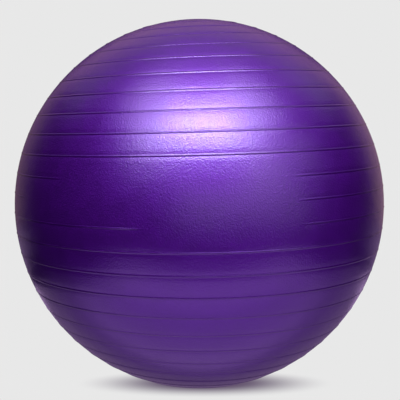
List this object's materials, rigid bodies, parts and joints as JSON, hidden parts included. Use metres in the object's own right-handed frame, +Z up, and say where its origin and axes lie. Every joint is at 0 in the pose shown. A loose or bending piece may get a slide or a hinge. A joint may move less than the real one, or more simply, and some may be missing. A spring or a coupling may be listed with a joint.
{
  "type": "exercise ball",
  "caption": "Inflated round vinyl exercise ball with thin raised rings, a plain front panel, a small flat rest patch and a push-in stopper plug in its valve.",
  "frame": {"origin": "middle of the flat patch on which the ball rests, at floor level", "axes": "+Z up, along the common axis of the rings; -Y is the front, with the plain panel; +Y is the back, where the valve and its plug are; +X is to the right seen from the front"},
  "size_m": [0.65, 0.649, 0.6468],
  "materials": {
    "ball_vinyl": "satin",
    "valve_vinyl": "satin",
    "plug_plastic": "satin"
  },
  "bodies": {
    "ball": {"ball_shell": "ball_vinyl", "valve_seat": "valve_vinyl"},
    "plug": {"stopper_plug": "plug_plastic"}
  },
  "joints": [
    {"name": "plug_pull", "type": "slide", "parent": "ball", "child": "plug", "axis": [0, 0.999, 0.0436], "range_m": [0, 0.03]}
  ]
}
